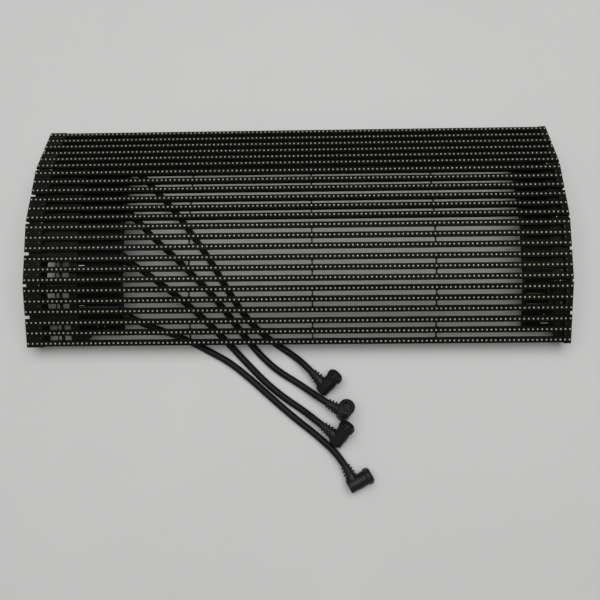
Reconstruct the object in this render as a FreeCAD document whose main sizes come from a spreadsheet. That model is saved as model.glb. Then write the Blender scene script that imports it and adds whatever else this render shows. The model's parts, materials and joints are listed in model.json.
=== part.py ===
import FreeCAD, Part
import math
import os

# LED curtain screen: four stiff panels of slatted LED modules, folded to an arch and standing face up.
# Row frame: X along the slats, +Y to the far edge, +Z up, origin under the middle of the arch.
# Panel frame: X from the left edge, Y up the face from the lowest row, Z out of the face (depth is -Z).

doc = FreeCAD.newDocument("led_curtain_screen")
sheet = doc.addObject("Spreadsheet::Sheet", "dims")

SIZES = {
    # Slats and rows
    "screen_width": 1000, "edge_gap": 1, "slat_height": 10.6, "slat_depth": 7.3,
    "row_pitch": 19.57, "module_pitch": 20.34,
    # End plates and ties of a module
    "left_plate_width": 32.4, "right_plate_width": 13, "plate_thick": 3, "plate_proud": 1.8,
    "ridge_inset": 8.2, "ridge_radius": 3.4,
    "tie_first": 304, "tie_step": 225.5, "tie_width": 2.5, "tie_front": 4, "tie_foot_width": 4.6,
    "tie_foot_height": 1.2,
    # LED board in the face of a module
    "board_height": 8.6, "board_thick": 1.6, "board_spine": 28, "board_margin": 1.2, "board_play": 0.15,
    # Fold between panels
    "fold": 16.44, "hinge_reach": 9.31, "hinge_depth": 3.65, "stop_gap": 0.2,
    "ear_radius": 2.1, "pin_radius": 1, "pin_play": 0.05, "pin_head_radius": 1.7, "pin_head_thick": 1,
    "ear_play": 0.5, "ear_width": 5, "ear_web_reach": 3.7, "ear_inset": 0.5, "pin_inset": 0.4,
    # Side frames
    "sheet_thick": 3, "frame_depth": 40,
    "left_rail_start": 6.5, "left_rail_width": 23.6, "left_strip_start": 82, "left_strip_end": 98,
    "right_strip_inset": 31, "right_rail_inset": 2, "right_rail_width": 4, "right_ear_inset": 24,
    "right_ear_width": 4, "bridge_inset": 3, "flange_thick": 2, "flange_depth": 28, "flange_play": 0.3,
    "rib_first": 57, "rib_first_width": 1.6, "rib_second": 64.4, "rib_second_width": 5.6,
    "gusset_low_reach": 10, "gusset_high_reach": 28,
    "hub_tab_reach": 19, "hub_tab_height": 8,
    # Power boxes on the left
    "box_start": 88, "box_end": 174, "box_depth": 38, "box_wall": 2.5, "lid_thick": 2,
    "first_box_low": 17, "post_radius": 3, "post_height": 3.2, "post_inset": 9,
    "board_start": 94, "board_end": 160, "driver_thick": 1.6, "driver_inset": 3,
    "converter_start": 112, "converter_up": 46, "converter_length": 30, "converter_height": 26,
    "converter_thick": 12, "capacitor_start": 118, "capacitor_up": 22, "capacitor_step": 14,
    "capacitor_radius": 5, "capacitor_length": 13, "connector_start": 98, "connector_up": 34,
    "connector_step": 44, "connector_width": 8, "connector_height": 16, "connector_thick": 7,
    "lead_depth": 25, "gland_radius": 9, "gland_length": 10, "gland_tip_length": 8, "gland_tip_radius": 7.6,
    "bore_overrun": 10,
    # Hub boxes on the right
    "hub_width": 51, "hub_depth": 36,
    # Leads and their elbow plugs
    "lead_radius": 6.3, "lead_play": 0.1, "lead_insert": 12, "lead_root": 3,
    "nut_length": 18, "nut_tip_radius": 7.2, "nut_radius": 9.4, "nut_rib_start": 0.6, "nut_rib_step": 6.6,
    "nut_rib_width": 2.8, "nut_rib_radius": 8, "nut_rib_growth": 1.1, "elbow_reach": 35,
    "neck_start_radius": 9.7, "neck_radius": 11.1, "neck_drop": 1.4,
    "barrel_radius": 12.6, "barrel_back": 12.6, "barrel_chamfer": 1.5, "ring_start": 16, "barrel_end": 31.5,
    "collar_radius": 10.6, "ring_end": 33.2, "ring_radius": 13.6, "ring_play": 0.08,
    "socket_radius": 8, "socket_depth": 9,
    # How far joined solids sink into each other, and how far cutters run past a face
    "root": 0.5, "overrun": 1,
}

for line, (alias, value) in enumerate(SIZES.items(), start=1):
    sheet.set(f"A{line}", alias)
    sheet.set(f"B{line}", str(value))
    sheet.setAlias(f"B{line}", alias)

# Place and angle of each lead's exit from its power box, for the panels from front to back
LEAD_EXITS = [(52, 30), (46, 32), (28, 38), (18, 38)]
# Turn about its cable of each elbow plug: level, or mouth tilted up to straight up
PLUG_ROLLS = [3, 30, 73, 28]
# The modules of each panel, lower then upper, behind which the left frame is open
OPEN_BAYS = [(True, True), (True, False), (False, False), (False, False)]

# Share of the shorter run that each arc of a lead takes up
ARC_SHARE = 0.45
# Lead routes in the row frame, from inside the power box to inside the plug
LEAD_ROUTES = [
    [(-328.6, -156.6, 37.5), (-296.6, -173.4, 29.8), (-262, -185, 18), (-216, -200, 7.5),
     (-170, -223.5, 6.4), (-126, -247, 6.4), (-86.5, -279, 6.4), (-47, -314.5, 6.4), (-6, -350, 6.4),
     (36.5, -383, 6.4), (75.8, -419.5, 13.4), (90.4, -446.1, 13.4)],
    [(-328.5, -56.7, 66.6), (-297.2, -76.1, 63.8), (-263, -99, 50), (-226, -124, 28), (-190, -152, 11),
     (-156, -184, 6.4), (-124, -217, 6.4), (-94, -249, 6.4), (-57, -287, 6.4), (-21, -316, 6.4),
     (10, -336.5, 6.4), (33.3, -355.8, 16.6), (56, -373.9, 16.6)],
    [(-328.4, 35.7, 69.7), (-299.2, 13.2, 72.9), (-268, -20, 54), (-234, -46, 28), (-203, -76, 11),
     (-168, -110, 6.4), (-136, -149, 6.4), (-104, -192, 6.4), (-73, -230, 6.4), (-38, -263, 6.4),
     (6, -290, 6.4), (41.6, -316.8, 15.5), (64.9, -330.7, 15.5)],
    [(-328.4, 133.6, 48.1), (-299.2, 112.9, 57.6), (-272, 83, 44), (-236, 48, 22), (-208, 10, 8),
     (-170, -44, 6.4), (-141, -94, 6.4), (-112, -141, 6.4), (-79, -182, 6.4), (-42, -212, 6.4),
     (-5, -236.5, 6.4), (17.7, -258.1, 16.5), (36.1, -277.9, 16.5)],
]

doc.recompute()
PANELS = range(1, 5)
MODULES = ("lower", "upper")
parts = []


def size(alias):
    return float(sheet.get(alias))


# Expressions that several pieces share
TOP_ROW = "(4 * dims.row_pitch + dims.module_pitch)"
UPPER_MODULE = "(2 * dims.row_pitch + dims.module_pitch)"
PLATE_BACK = "(dims.slat_depth + dims.sheet_thick)"
LID_BACK = "(dims.box_depth + dims.lid_thick)"
RAIL_END = "(dims.left_rail_start + dims.left_rail_width)"
HALF_SLAT = "(dims.slat_height / 2)"
RIGHT_STRIP = "(dims.screen_width - dims.right_strip_inset)"
RIGHT_RAIL_END = "(dims.screen_width - dims.right_rail_inset)"
RIGHT_EAR = "(dims.screen_width - dims.right_ear_inset)"


def mitre(depth):
    """Distance from the fold's middle plane to a mitred end, at a depth behind the face."""
    return f"(dims.stop_gap + (({depth}) - dims.hinge_depth) * tan(dims.fold / 2 * 1deg))"


def low_end(depth):
    return f"({mitre(depth)} - dims.hinge_reach)"


def high_end(depth):
    return f"({TOP_ROW} + dims.hinge_reach - {mitre(depth)})"


def bind(item, **values):
    for name, value in values.items():
        item.setExpression(name.replace("__", "."), str(value))
    return item


def put(item, x, y, z):
    return bind(item, Placement__Base__x=x, Placement__Base__y=y, Placement__Base__z=z)


def block(x, y, depth, length, height, thick, name="block"):
    """Box from x and y, with its front at a depth behind the face."""
    item = bind(doc.addObject("Part::Box", name), Length=length, Width=height, Height=thick)
    return put(item, x, y, f"-(({depth}) + ({thick}))")


def rod(x, y, z, radius, length, axis, name="rod"):
    """Cylinder from a point, along +X, +Y or +Z of the panel frame."""
    item = bind(doc.addObject("Part::Cylinder", name), Radius=radius, Height=length)
    turns = {"x": ((0, 1, 0), 90), "y": ((1, 0, 0), -90), "z": ((0, 0, 1), 0)}
    direction, angle = turns[axis]
    item.Placement = FreeCAD.Placement(FreeCAD.Vector(), FreeCAD.Rotation(FreeCAD.Vector(*direction), angle))
    return put(item, x, y, z)


def taper(x, end, front, back, front_span, back_span, name="taper"):
    """Block from a front depth to a back depth whose low and high ends may slant."""
    item = doc.addObject("Part::Wedge", name)
    item.Placement = FreeCAD.Placement(FreeCAD.Vector(), FreeCAD.Rotation(FreeCAD.Vector(1, 0, 0), -90))
    return bind(item, Xmin=x, X2min=x, Xmax=end, X2max=end, Ymin=front, Ymax=back,
                Zmin=front_span[0], Zmax=front_span[1], Z2min=back_span[0], Z2max=back_span[1])


def mitred(x, end, front, back):
    """Taper over the whole panel, with both ends mitred for the fold."""
    return taper(x, end, front, back, (low_end(front), high_end(front)), (low_end(back), high_end(back)))


def sheet_end(panel, far, depth):
    """End of a front sheet: mitred at a fold, and level with the outermost slat at a free edge."""
    if far:
        return f"({TOP_ROW} + {HALF_SLAT})" if panel == 4 else high_end(depth)
    return f"(-{HALF_SLAT})" if panel == 1 else low_end(depth)


def flange(x, end, panel, far):
    """Strip turned back from one end of a front sheet."""
    inward = "-dims.flange_thick" if far else "dims.flange_thick"
    spans = []
    for depth in (PLATE_BACK, "dims.flange_depth"):
        outer = sheet_end(panel, far, depth)
        inner = f"({outer} + {inward})"
        spans.append((inner, outer) if far else (outer, inner))
    return taper(x, end, PLATE_BACK, "dims.flange_depth", spans[0], spans[1], "flange")


def front_sheet(x, end, flange_end, panel):
    """Front sheet of a side frame, with a flange turned back along both of its ends."""
    front, back = [(sheet_end(panel, False, depth), sheet_end(panel, True, depth))
                   for depth in ("dims.slat_depth", PLATE_BACK)]
    sheet_block = taper(x, end, "dims.slat_depth", PLATE_BACK, front, back, "front_sheet")
    return [sheet_block, flange(x, flange_end, panel, False), flange(x, flange_end, panel, True)]


def fuse(name, shapes):
    item = doc.addObject("Part::MultiFuse", name)
    item.Shapes = shapes
    item.Refine = True
    return item


def cut(name, base, tool):
    item = doc.addObject("Part::Cut", name)
    item.Base = base
    item.Tool = tool
    item.Refine = True
    return item


def place(name, master, placement):
    """A named sub-part: one copy of a master, put where it belongs in the row frame."""
    item = doc.addObject("Part::Compound", name)
    item.Label = name
    item.Links = [master]
    item.Placement = placement
    parts.append(item)
    return item


# Slat module: three bars, the plates that join their ends, and ties between them

def slat_rows():
    return [f"({row} * dims.row_pitch)" for row in range(3)]


def module_housing():
    width = "(dims.screen_width - 2 * dims.edge_gap)"
    plate_low = f"(-{HALF_SLAT} - dims.plate_proud)"
    plate_height = "(2 * dims.row_pitch + dims.slat_height + 2 * dims.plate_proud)"
    right_plate = "(dims.screen_width - dims.edge_gap - dims.right_plate_width)"
    solids = [block("dims.edge_gap", f"{row} - {HALF_SLAT}", 0, width, "dims.slat_height", "dims.slat_depth",
                    "bar") for row in slat_rows()]
    solids.append(block("dims.edge_gap", plate_low, 0, "dims.left_plate_width", plate_height,
                        "dims.plate_thick", "left_plate"))
    solids.append(block(right_plate, plate_low, 0, "dims.right_plate_width", plate_height,
                        "dims.plate_thick", "right_plate"))
    solids.append(rod("dims.screen_width - dims.ridge_inset", 0, "-dims.ridge_radius", "dims.ridge_radius",
                      "2 * dims.row_pitch", "y", "end_ridge"))
    for number in range(3):
        middle = f"(dims.tie_first + {number} * dims.tie_step)"
        thick = "(dims.slat_depth - dims.tie_front)"
        solids.append(block(f"{middle} - dims.tie_width / 2", 0, "dims.tie_front", "dims.tie_width",
                            "2 * dims.row_pitch", thick, "tie"))
        for row in (0, 1):
            low = f"({row} * dims.row_pitch + {HALF_SLAT} - dims.root)"
            high = f"({row + 1} * dims.row_pitch - {HALF_SLAT} - dims.tie_foot_height)"
            for foot in (low, high):
                solids.append(block(f"{middle} - dims.tie_foot_width / 2", foot, "dims.tie_front",
                                    "dims.tie_foot_width", "dims.tie_foot_height + dims.root", thick,
                                    "tie_foot"))
    return solids


def comb(name, play):
    """Comb of three fingers and a spine, as the board or as the recess that holds it."""
    thick = "dims.board_thick"
    left = f"(dims.edge_gap + dims.board_margin - {play})"
    length = f"(dims.screen_width - 2 * dims.edge_gap - 2 * dims.board_margin + 2 * {play})"
    fingers = [block(left, f"{row} - dims.board_height / 2 - {play}", 0, length,
                     f"dims.board_height + 2 * {play}", thick, "finger") for row in slat_rows()]
    spine = block(left, 0, 0, f"dims.board_spine + 2 * {play}", "2 * dims.row_pitch", thick, "spine")
    return fuse(name, fingers + [spine])


housing = cut("module_master", fuse("module_bars", module_housing()), comb("board_recess", "dims.board_play"))
led_board = comb("led_board_master", "0")


# Side frames: a deep rail, a front sheet with bays, and the ears of the fold hinges

def ears(x, width, far):
    """Hinge ear on the low or the far end of a frame, with the web that joins it to the frame."""
    axis = f"({TOP_ROW} + dims.hinge_reach)" if far else "(-dims.hinge_reach)"
    knuckle = rod(x, axis, "-dims.hinge_depth", "dims.ear_radius", width, "x", "ear")
    web_height = f"(dims.ear_web_reach - {mitre(PLATE_BACK)})"
    start = f"({axis} - dims.ear_web_reach)" if far else f"({axis} + {mitre(PLATE_BACK)})"
    web = block(x, start, "dims.hinge_depth", width, web_height, f"{PLATE_BACK} - dims.hinge_depth", "ear_web")
    return [knuckle, web]


def folds(panel):
    """Whether a panel has a fold at its low end and at its far end."""
    return panel > 1, panel < 4


def ear_bores(x, width, panel):
    """Pin holes through the ears at the folded ends of a frame."""
    axes = ("(-dims.hinge_reach)", f"({TOP_ROW} + dims.hinge_reach)")
    return [rod(f"{x} - dims.overrun", axis, "-dims.hinge_depth", "dims.pin_radius + dims.pin_play",
                f"{width} + 2 * dims.overrun", "x", "ear_bore")
            for axis, is_folded in zip(axes, folds(panel)) if is_folded]


def bay(start, end, module):
    """Window in the front sheet behind one module."""
    base = UPPER_MODULE if module else "0"
    return block(start, f"{base} + dims.bridge_inset", "dims.slat_depth - dims.overrun", f"({end}) - ({start})",
                 "2 * dims.row_pitch - 2 * dims.bridge_inset", "dims.sheet_thick + 2 * dims.overrun", "bay")


def ear_layout(start, width, ear, panel):
    """Two outer ears for a fold at the low end and one middle ear for a fold at the far end."""
    low, far = folds(panel)
    solids = []
    if low:
        solids += ears(start, ear, False)
        solids += ears(f"({start}) + ({width}) - ({ear})", ear, False)
    if far:
        middle = f"({width}) - 2 * ({ear}) - 2 * dims.ear_play"
        solids += ears(f"({start}) + ({ear}) + dims.ear_play", middle, True)
    return solids


def gusset():
    """Slanted extension of the first panel's front sheet, behind its two lowest slats."""
    item = doc.addObject("Part::Wedge", "gusset")
    bind(item, Xmin="dims.left_strip_end - dims.root", X2min="dims.left_strip_end - dims.root",
         Xmax="dims.left_strip_end + dims.gusset_low_reach", X2max="dims.left_strip_end + dims.gusset_high_reach",
         Ymin=f"-{HALF_SLAT}", Ymax="dims.row_pitch", Zmin="0", Z2min="0", Zmax="dims.sheet_thick",
         Z2max="dims.sheet_thick")
    return put(item, 0, 0, f"-{PLATE_BACK}")


def left_frame(panel):
    bays = OPEN_BAYS[panel - 1]
    rail = mitred("dims.left_rail_start", RAIL_END, "dims.slat_depth", "dims.frame_depth")
    solids = [rail] + front_sheet(f"{RAIL_END} - dims.root", "dims.left_strip_end",
                                  "dims.box_start - dims.flange_play", panel)
    solids += ear_layout("dims.left_rail_start + dims.ear_inset", "dims.left_rail_width - 2 * dims.ear_inset",
                         "dims.ear_width", panel)
    if panel == 1:
        solids.append(gusset())
    inner_low = f"{low_end('dims.frame_depth')} + dims.sheet_thick"
    hollow = block("dims.left_rail_start + dims.sheet_thick", inner_low, PLATE_BACK,
                   "dims.left_rail_width - 2 * dims.sheet_thick",
                   f"{high_end('dims.frame_depth')} - dims.sheet_thick - ({inner_low})",
                   f"dims.frame_depth - {PLATE_BACK} + dims.overrun", "rail_hollow")
    tools = [hollow] + ear_bores("dims.left_rail_start", "dims.left_rail_width", panel)
    tools += [bay(RAIL_END, "dims.left_strip_start", number) for number, is_open in enumerate(bays) if is_open]
    body = cut(f"left_frame_cut_{panel}", fuse(f"left_frame_solid_{panel}", solids),
               fuse(f"left_frame_tools_{panel}", tools))
    ribs = []
    for number, is_open in enumerate(bays):
        base = UPPER_MODULE if number else "0"
        for rib in ("rib_first", "rib_second"):
            if is_open:
                ribs.append(block(f"dims.{rib}", base, "dims.slat_depth", f"dims.{rib}_width",
                                  "2 * dims.row_pitch", "dims.sheet_thick", "rib"))
    return fuse(f"left_frame_master_{panel}", [body] + ribs) if ribs else body


def right_frame(panel):
    rail = mitred(f"{RIGHT_RAIL_END} - dims.right_rail_width", RIGHT_RAIL_END, "dims.slat_depth",
                  "dims.frame_depth")
    rail_start = f"({RIGHT_RAIL_END} - dims.right_rail_width)"
    width = f"{RIGHT_RAIL_END} - dims.ear_inset - {RIGHT_EAR}"
    solids = [rail] + front_sheet(RIGHT_STRIP, f"{rail_start} + dims.root", f"{rail_start} + dims.root", panel)
    solids += ear_layout(RIGHT_EAR, width, "dims.right_ear_width", panel)
    for row in ("dims.row_pitch", f"{UPPER_MODULE} + dims.row_pitch"):
        solids.append(block(f"{RIGHT_STRIP} - dims.hub_tab_reach", f"{row} - dims.hub_tab_height / 2",
                            "dims.slat_depth", "dims.hub_tab_reach + dims.root", "dims.hub_tab_height",
                            "dims.sheet_thick", "hub_tab"))
    tools = ear_bores(RIGHT_EAR, width, panel)
    return cut(f"right_frame_master_{panel}", fuse(f"right_frame_solid_{panel}", solids),
               fuse(f"right_frame_tools_{panel}", tools) if len(tools) > 1 else tools[0])


# Power boxes with their lids, driver boards and lead glands, and the potted hub boxes

def box_span(depth, first):
    return ("dims.first_box_low" if first else low_end(depth), high_end(depth))


def inner_span(depth, first):
    low, high = box_span(depth, first)
    return (f"{low} + dims.box_wall", f"{high} - dims.box_wall")


def box_posts(first):
    """Centres of the four posts that carry the driver board."""
    low, high = inner_span("dims.box_depth", first)
    rows = (f"{low} + dims.post_inset", f"{high} - dims.post_inset")
    columns = ("dims.board_start + dims.post_inset", "dims.board_end - dims.post_inset")
    return [(x, y) for x in columns for y in rows]


def exit_rod(panel, start, length, radius, tip_radius=None):
    """Cylinder or cone along the lead's exit line, from a distance outside the box's right wall."""
    height, angle = LEAD_EXITS[panel - 1]
    kind = "Part::Cone" if tip_radius else "Part::Cylinder"
    item = doc.addObject(kind, "exit_round")
    heading = FreeCAD.Vector(math.cos(math.radians(angle)), -math.sin(math.radians(angle)), 0)
    turn = FreeCAD.Rotation(FreeCAD.Vector(0, 0, 1), heading)
    item.Placement = FreeCAD.Placement(FreeCAD.Vector(), turn)
    if tip_radius:
        bind(item, Height=length, Radius1=radius, Radius2=tip_radius)
    else:
        bind(item, Height=length, Radius=radius)
    return put(item, f"dims.box_end + ({start}) * {heading.x}", f"{height} + ({start}) * {heading.y}",
               "-dims.lead_depth")


def power_box(panel):
    first = panel == 1
    back = "dims.box_depth"
    outer = taper("dims.box_start", "dims.box_end", PLATE_BACK, back, box_span(PLATE_BACK, first),
                  box_span(back, first), "box_outside")
    floor_depth = f"({PLATE_BACK} + dims.box_wall)"
    mouth = f"({back} + dims.overrun)"
    inner = taper("dims.box_start + dims.box_wall", "dims.box_end - dims.box_wall", floor_depth, mouth,
                  inner_span(floor_depth, first), inner_span(mouth, first), "box_inside")
    shell = cut(f"box_shell_{panel}", outer, inner)
    solids = [shell]
    for x, y in box_posts(first):
        solids.append(rod(x, y, f"-({floor_depth} + dims.post_height)", "dims.post_radius",
                          "dims.post_height + dims.root", "z", "post"))
    solids.append(exit_rod(panel, "-dims.lead_root", "dims.gland_length + dims.lead_root", "dims.gland_radius"))
    solids.append(exit_rod(panel, "dims.gland_length", "dims.gland_tip_length", "dims.gland_radius",
                           "dims.gland_tip_radius"))
    bore_length = "dims.gland_length + dims.gland_tip_length + 2 * dims.bore_overrun"
    bore = exit_rod(panel, "-dims.bore_overrun", bore_length, "dims.lead_radius + dims.lead_play")
    return cut(f"power_box_master_{panel}", fuse(f"box_solid_{panel}", solids), bore)


def box_lid(panel):
    first = panel == 1
    return taper("dims.box_start", "dims.box_end", "dims.box_depth", LID_BACK,
                 box_span("dims.box_depth", first), box_span(LID_BACK, first), "lid_master")


def driver_board(panel):
    """Board on the four posts, with a converter block, two capacitors and two connectors."""
    first = panel == 1
    low, high = inner_span("dims.box_depth", first)
    front = f"({PLATE_BACK} + dims.box_wall + dims.post_height)"
    top = f"({front} + dims.driver_thick - dims.root)"
    start = f"({low} + dims.driver_inset)"
    solids = [block("dims.board_start", start, front, "dims.board_end - dims.board_start",
                    f"({high} - dims.driver_inset - {start})", "dims.driver_thick", "board")]
    solids.append(block("dims.converter_start", f"{start} + dims.converter_up", top, "dims.converter_length",
                        "dims.converter_height", "dims.converter_thick + dims.root", "converter"))
    for number in range(2):
        solids.append(rod(f"dims.capacitor_start + {number} * dims.capacitor_step",
                          f"{start} + dims.capacitor_up", f"-({top} + dims.capacitor_length + dims.root)",
                          "dims.capacitor_radius", "dims.capacitor_length + dims.root", "z", "capacitor"))
        solids.append(block(f"dims.connector_start + {number} * dims.connector_step",
                            f"{start} + dims.connector_up", top, "dims.connector_width",
                            "dims.connector_height", "dims.connector_thick + dims.root", "connector"))
    return fuse(f"driver_board_master_{panel}", solids)


def hub_box(first):
    back = "dims.hub_depth"
    return taper(f"{RIGHT_STRIP} - dims.hub_width", RIGHT_STRIP, PLATE_BACK, back,
                 box_span(PLATE_BACK, first), box_span(back, first), "hub_master")


hub_first = hub_box(True)
hub_other = hub_box(False)


# Hinge pins: one on the left and one on the right, with a head at each end

def hinge_pin(start, width, name):
    solids = [rod(start, 0, 0, "dims.pin_radius", width, "x", "pin")]
    heads = (f"({start}) - dims.pin_head_thick", f"({start}) + ({width})")
    solids += [rod(x, 0, 0, "dims.pin_head_radius", "dims.pin_head_thick", "x", "pin_head") for x in heads]
    return fuse(name, solids)


left_pin = hinge_pin("dims.left_rail_start + dims.pin_inset", "dims.left_rail_width - 2 * dims.pin_inset",
                     "left_pin_master")
right_pin = hinge_pin(f"{RIGHT_EAR} + dims.pin_inset - dims.ear_inset",
                      f"{RIGHT_RAIL_END} - {RIGHT_EAR} + dims.ear_inset - 2 * dims.pin_inset",
                      "right_pin_master")


# Elbow plug in its own frame: the cable comes in along +X, the barrel's mouth looks along +Z

def neck():
    """Skewed cone that widens from the nut into the barrel."""
    sections = []
    for x, drop, radius in (("-dims.elbow_reach + dims.nut_length", "0", "dims.neck_start_radius"),
                            ("0", "dims.neck_drop", "dims.neck_radius")):
        circle = bind(doc.addObject("Part::Circle", "neck_outline"), Radius=radius)
        circle.Placement = FreeCAD.Placement(FreeCAD.Vector(), FreeCAD.Rotation(FreeCAD.Vector(0, 1, 0), 90))
        sections.append(put(circle, x, 0, f"-({drop})"))
    skin = doc.addObject("Part::Loft", "neck")
    skin.Sections = sections
    skin.Solid = True
    skin.Ruled = True
    return skin


def plug_body():
    barrel_start = "(dims.barrel_chamfer - dims.barrel_back)"
    solids = [rod(0, 0, barrel_start, "dims.barrel_radius", f"dims.ring_start - {barrel_start}", "z", "barrel"),
              rod(0, 0, 0, "dims.collar_radius", "dims.barrel_end", "z", "collar"), neck()]
    base = bind(doc.addObject("Part::Cone", "barrel_end"), Radius1="dims.barrel_radius - dims.barrel_chamfer",
                Radius2="dims.barrel_radius", Height="dims.barrel_chamfer")
    solids.append(put(base, 0, 0, "-dims.barrel_back"))
    socket = rod(0, 0, "dims.barrel_end - dims.socket_depth", "dims.socket_radius",
                 "dims.socket_depth + dims.overrun", "z", "socket")
    return cut("plug_body_master", fuse("plug_solid", solids), socket)


def coupling_ring():
    ring = rod(0, 0, "dims.ring_start", "dims.ring_radius", "dims.ring_end - dims.ring_start", "z", "ring")
    bore = rod(0, 0, "dims.ring_start - dims.overrun", "dims.collar_radius + dims.ring_play",
               "dims.ring_end - dims.ring_start + 2 * dims.overrun", "z", "ring_bore")
    return cut("ring_master", ring, bore)


def gland_nut():
    start = "(-dims.elbow_reach)"
    core = bind(doc.addObject("Part::Cone", "nut_core"), Radius1="dims.nut_tip_radius",
                Radius2="dims.nut_radius", Height="dims.nut_length")
    core.Placement = FreeCAD.Placement(FreeCAD.Vector(), FreeCAD.Rotation(FreeCAD.Vector(0, 1, 0), 90))
    solids = [put(core, start, 0, 0)]
    for number in range(3):
        solids.append(rod(f"{start} + dims.nut_rib_start + {number} * dims.nut_rib_step", 0, 0,
                          f"dims.nut_rib_radius + {number} * dims.nut_rib_growth", "dims.nut_rib_width", "x",
                          "nut_rib"))
    bore = rod(f"{start} - dims.overrun", 0, 0, "dims.lead_radius + dims.lead_play",
               "dims.lead_insert + dims.overrun", "x", "nut_bore")
    return cut("nut_master", fuse("nut_solid", solids), bore)


body_master = plug_body()
ring_master = coupling_ring()
nut_master = gland_nut()


# Where the panels lie: four equal chords of the arch, folded about the hinge axes

PANEL_LENGTH = 4 * size("row_pitch") + size("module_pitch") + 2 * size("hinge_reach")
SLOPES = [(1.5 - number) * size("fold") for number in range(4)]


def turned(y, z, degrees):
    angle = math.radians(degrees)
    return (y * math.cos(angle) - z * math.sin(angle), y * math.sin(angle) + z * math.cos(angle))


def pivots():
    """Hinge axes from front to back, as (y, z), with the rails' corners on the floor."""
    points = [(0.0, 0.0)]
    for slope in SLOPES:
        step = turned(PANEL_LENGTH, 0, slope)
        points.append((points[-1][0] + step[0], points[-1][1] + step[1]))
    middle = points[-1][0] / 2
    rail_drop = size("frame_depth") - size("hinge_depth")
    corner = size("stop_gap") + rail_drop * math.tan(math.radians(size("fold") / 2))
    foot = turned(corner, -rail_drop, SLOPES[0])[1]
    return [(y - middle, z - foot) for y, z in points]


PIVOTS = pivots()


def panel_place(panel, rise=0.0):
    """Placement of the panel frame; rise moves a piece up the panel's face."""
    y, z = PIVOTS[panel - 1]
    turn = FreeCAD.Rotation(FreeCAD.Vector(1, 0, 0), SLOPES[panel - 1])
    offset = FreeCAD.Vector(-size("screen_width") / 2, size("hinge_reach") + rise, size("hinge_depth"))
    return FreeCAD.Placement(FreeCAD.Vector(0, y, z), turn).multiply(
        FreeCAD.Placement(offset, FreeCAD.Rotation()))


def plug_place(route, roll):
    """Placement of an elbow plug on the end of its lead."""
    last = FreeCAD.Vector(*route[-1])
    heading = (last - FreeCAD.Vector(*route[-2])).normalize()
    side = FreeCAD.Vector(0, 0, 1).cross(heading).normalize()
    up = heading.cross(side)
    angle = math.radians(roll)
    mouth = side * math.cos(angle) + up * math.sin(angle)
    turn = FreeCAD.Rotation(heading, mouth.cross(heading), mouth, "XZY")
    middle = last + heading * (size("elbow_reach") - size("lead_insert"))
    return FreeCAD.Placement(middle, turn)


def lead_path(route):
    """Straight runs joined by tangent arcs, each as large as its two runs allow."""
    points = [FreeCAD.Vector(*point) for point in route]
    edges = []
    radii = []
    start = points[0]
    for before, corner, after in zip(points, points[1:], points[2:]):
        back = before - corner
        ahead = after - corner
        reach = ARC_SHARE * min(back.Length, ahead.Length)
        half_turn = (math.pi - back.getAngle(ahead)) / 2
        radii.append(reach / math.tan(half_turn))
        arc_start = corner + back.normalize() * reach
        arc_end = corner + ahead.normalize() * reach
        inward = (back + ahead).normalize()
        centre = corner + inward * (radii[-1] / math.cos(half_turn))
        arc_middle = centre - inward * radii[-1]
        edges.append(Part.LineSegment(start, arc_start).toShape())
        edges.append(Part.Arc(arc_start, arc_middle, arc_end).toShape())
        start = arc_end
    edges.append(Part.LineSegment(start, points[-1]).toShape())
    return Part.Wire(edges), radii


def lead(panel):
    """Round cable swept along its route."""
    route = LEAD_ROUTES[panel - 1]
    path, radii = lead_path(route)
    first = FreeCAD.Vector(*route[0])
    heading = FreeCAD.Vector(*route[1]) - first
    circle = Part.Wire([Part.makeCircle(size("lead_radius"), first, heading)])
    item = doc.addObject("Part::Feature", f"panel_{panel}_lead")
    item.Label = f"panel_{panel}_lead"
    item.Shape = path.makePipeShell([circle], True, False)
    item.Placement = FreeCAD.Placement()
    parts.append(item)
    section = math.pi * size("lead_radius") ** 2
    print(item.Label, "length", round(path.Length, 1), "least radius", round(min(radii), 1),
          "volume ratio", round(item.Shape.Volume / (section * path.Length), 4))


UPPER_RISE = 2 * size("row_pitch") + size("module_pitch")

for panel in PANELS:
    here = panel_place(panel)
    for module, rise in zip(MODULES, (0.0, UPPER_RISE)):
        place(f"panel_{panel}_{module}_module", housing, panel_place(panel, rise))
        place(f"panel_{panel}_{module}_led_board", led_board, panel_place(panel, rise))
    place(f"panel_{panel}_left_frame", left_frame(panel), here)
    place(f"panel_{panel}_right_frame", right_frame(panel), here)
    place(f"panel_{panel}_power_box", power_box(panel), here)
    place(f"panel_{panel}_power_box_lid", box_lid(panel), here)
    place(f"panel_{panel}_driver_board", driver_board(panel), here)
    place(f"panel_{panel}_hub_box", hub_first if panel == 1 else hub_other, here)
    lead(panel)
    plug = plug_place(LEAD_ROUTES[panel - 1], PLUG_ROLLS[panel - 1])
    place(f"panel_{panel}_plug_body", body_master, plug)
    place(f"panel_{panel}_coupling_ring", ring_master, plug)
    place(f"panel_{panel}_gland_nut", nut_master, plug)

for number, (y, z) in enumerate(PIVOTS[1:4], start=1):
    pins = doc.addObject("Part::Compound", f"hinge_pins_{number}_{number + 1}")
    pins.Label = pins.Name
    pins.Links = [left_pin, right_pin]
    pins.Placement = FreeCAD.Placement(FreeCAD.Vector(-size("screen_width") / 2, y, z), FreeCAD.Rotation())
    parts.append(pins)

doc.recompute()

for item in doc.Objects:
    if "Invalid" in item.State or "Error" in item.State:
        raise RuntimeError(f"{item.Label} did not build: {item.State}")
for item in parts:
    if item.Shape.isNull() or not item.Shape.isValid():
        raise RuntimeError(f"{item.Label} has no valid shape")

os.makedirs("parts", exist_ok=True)
for item in parts:
    item.Shape.exportStep(f"parts/{item.Label}.step")
print(len(parts), "sub-parts")
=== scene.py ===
import json
import math

import bpy
from mathutils import Matrix, Vector


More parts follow.
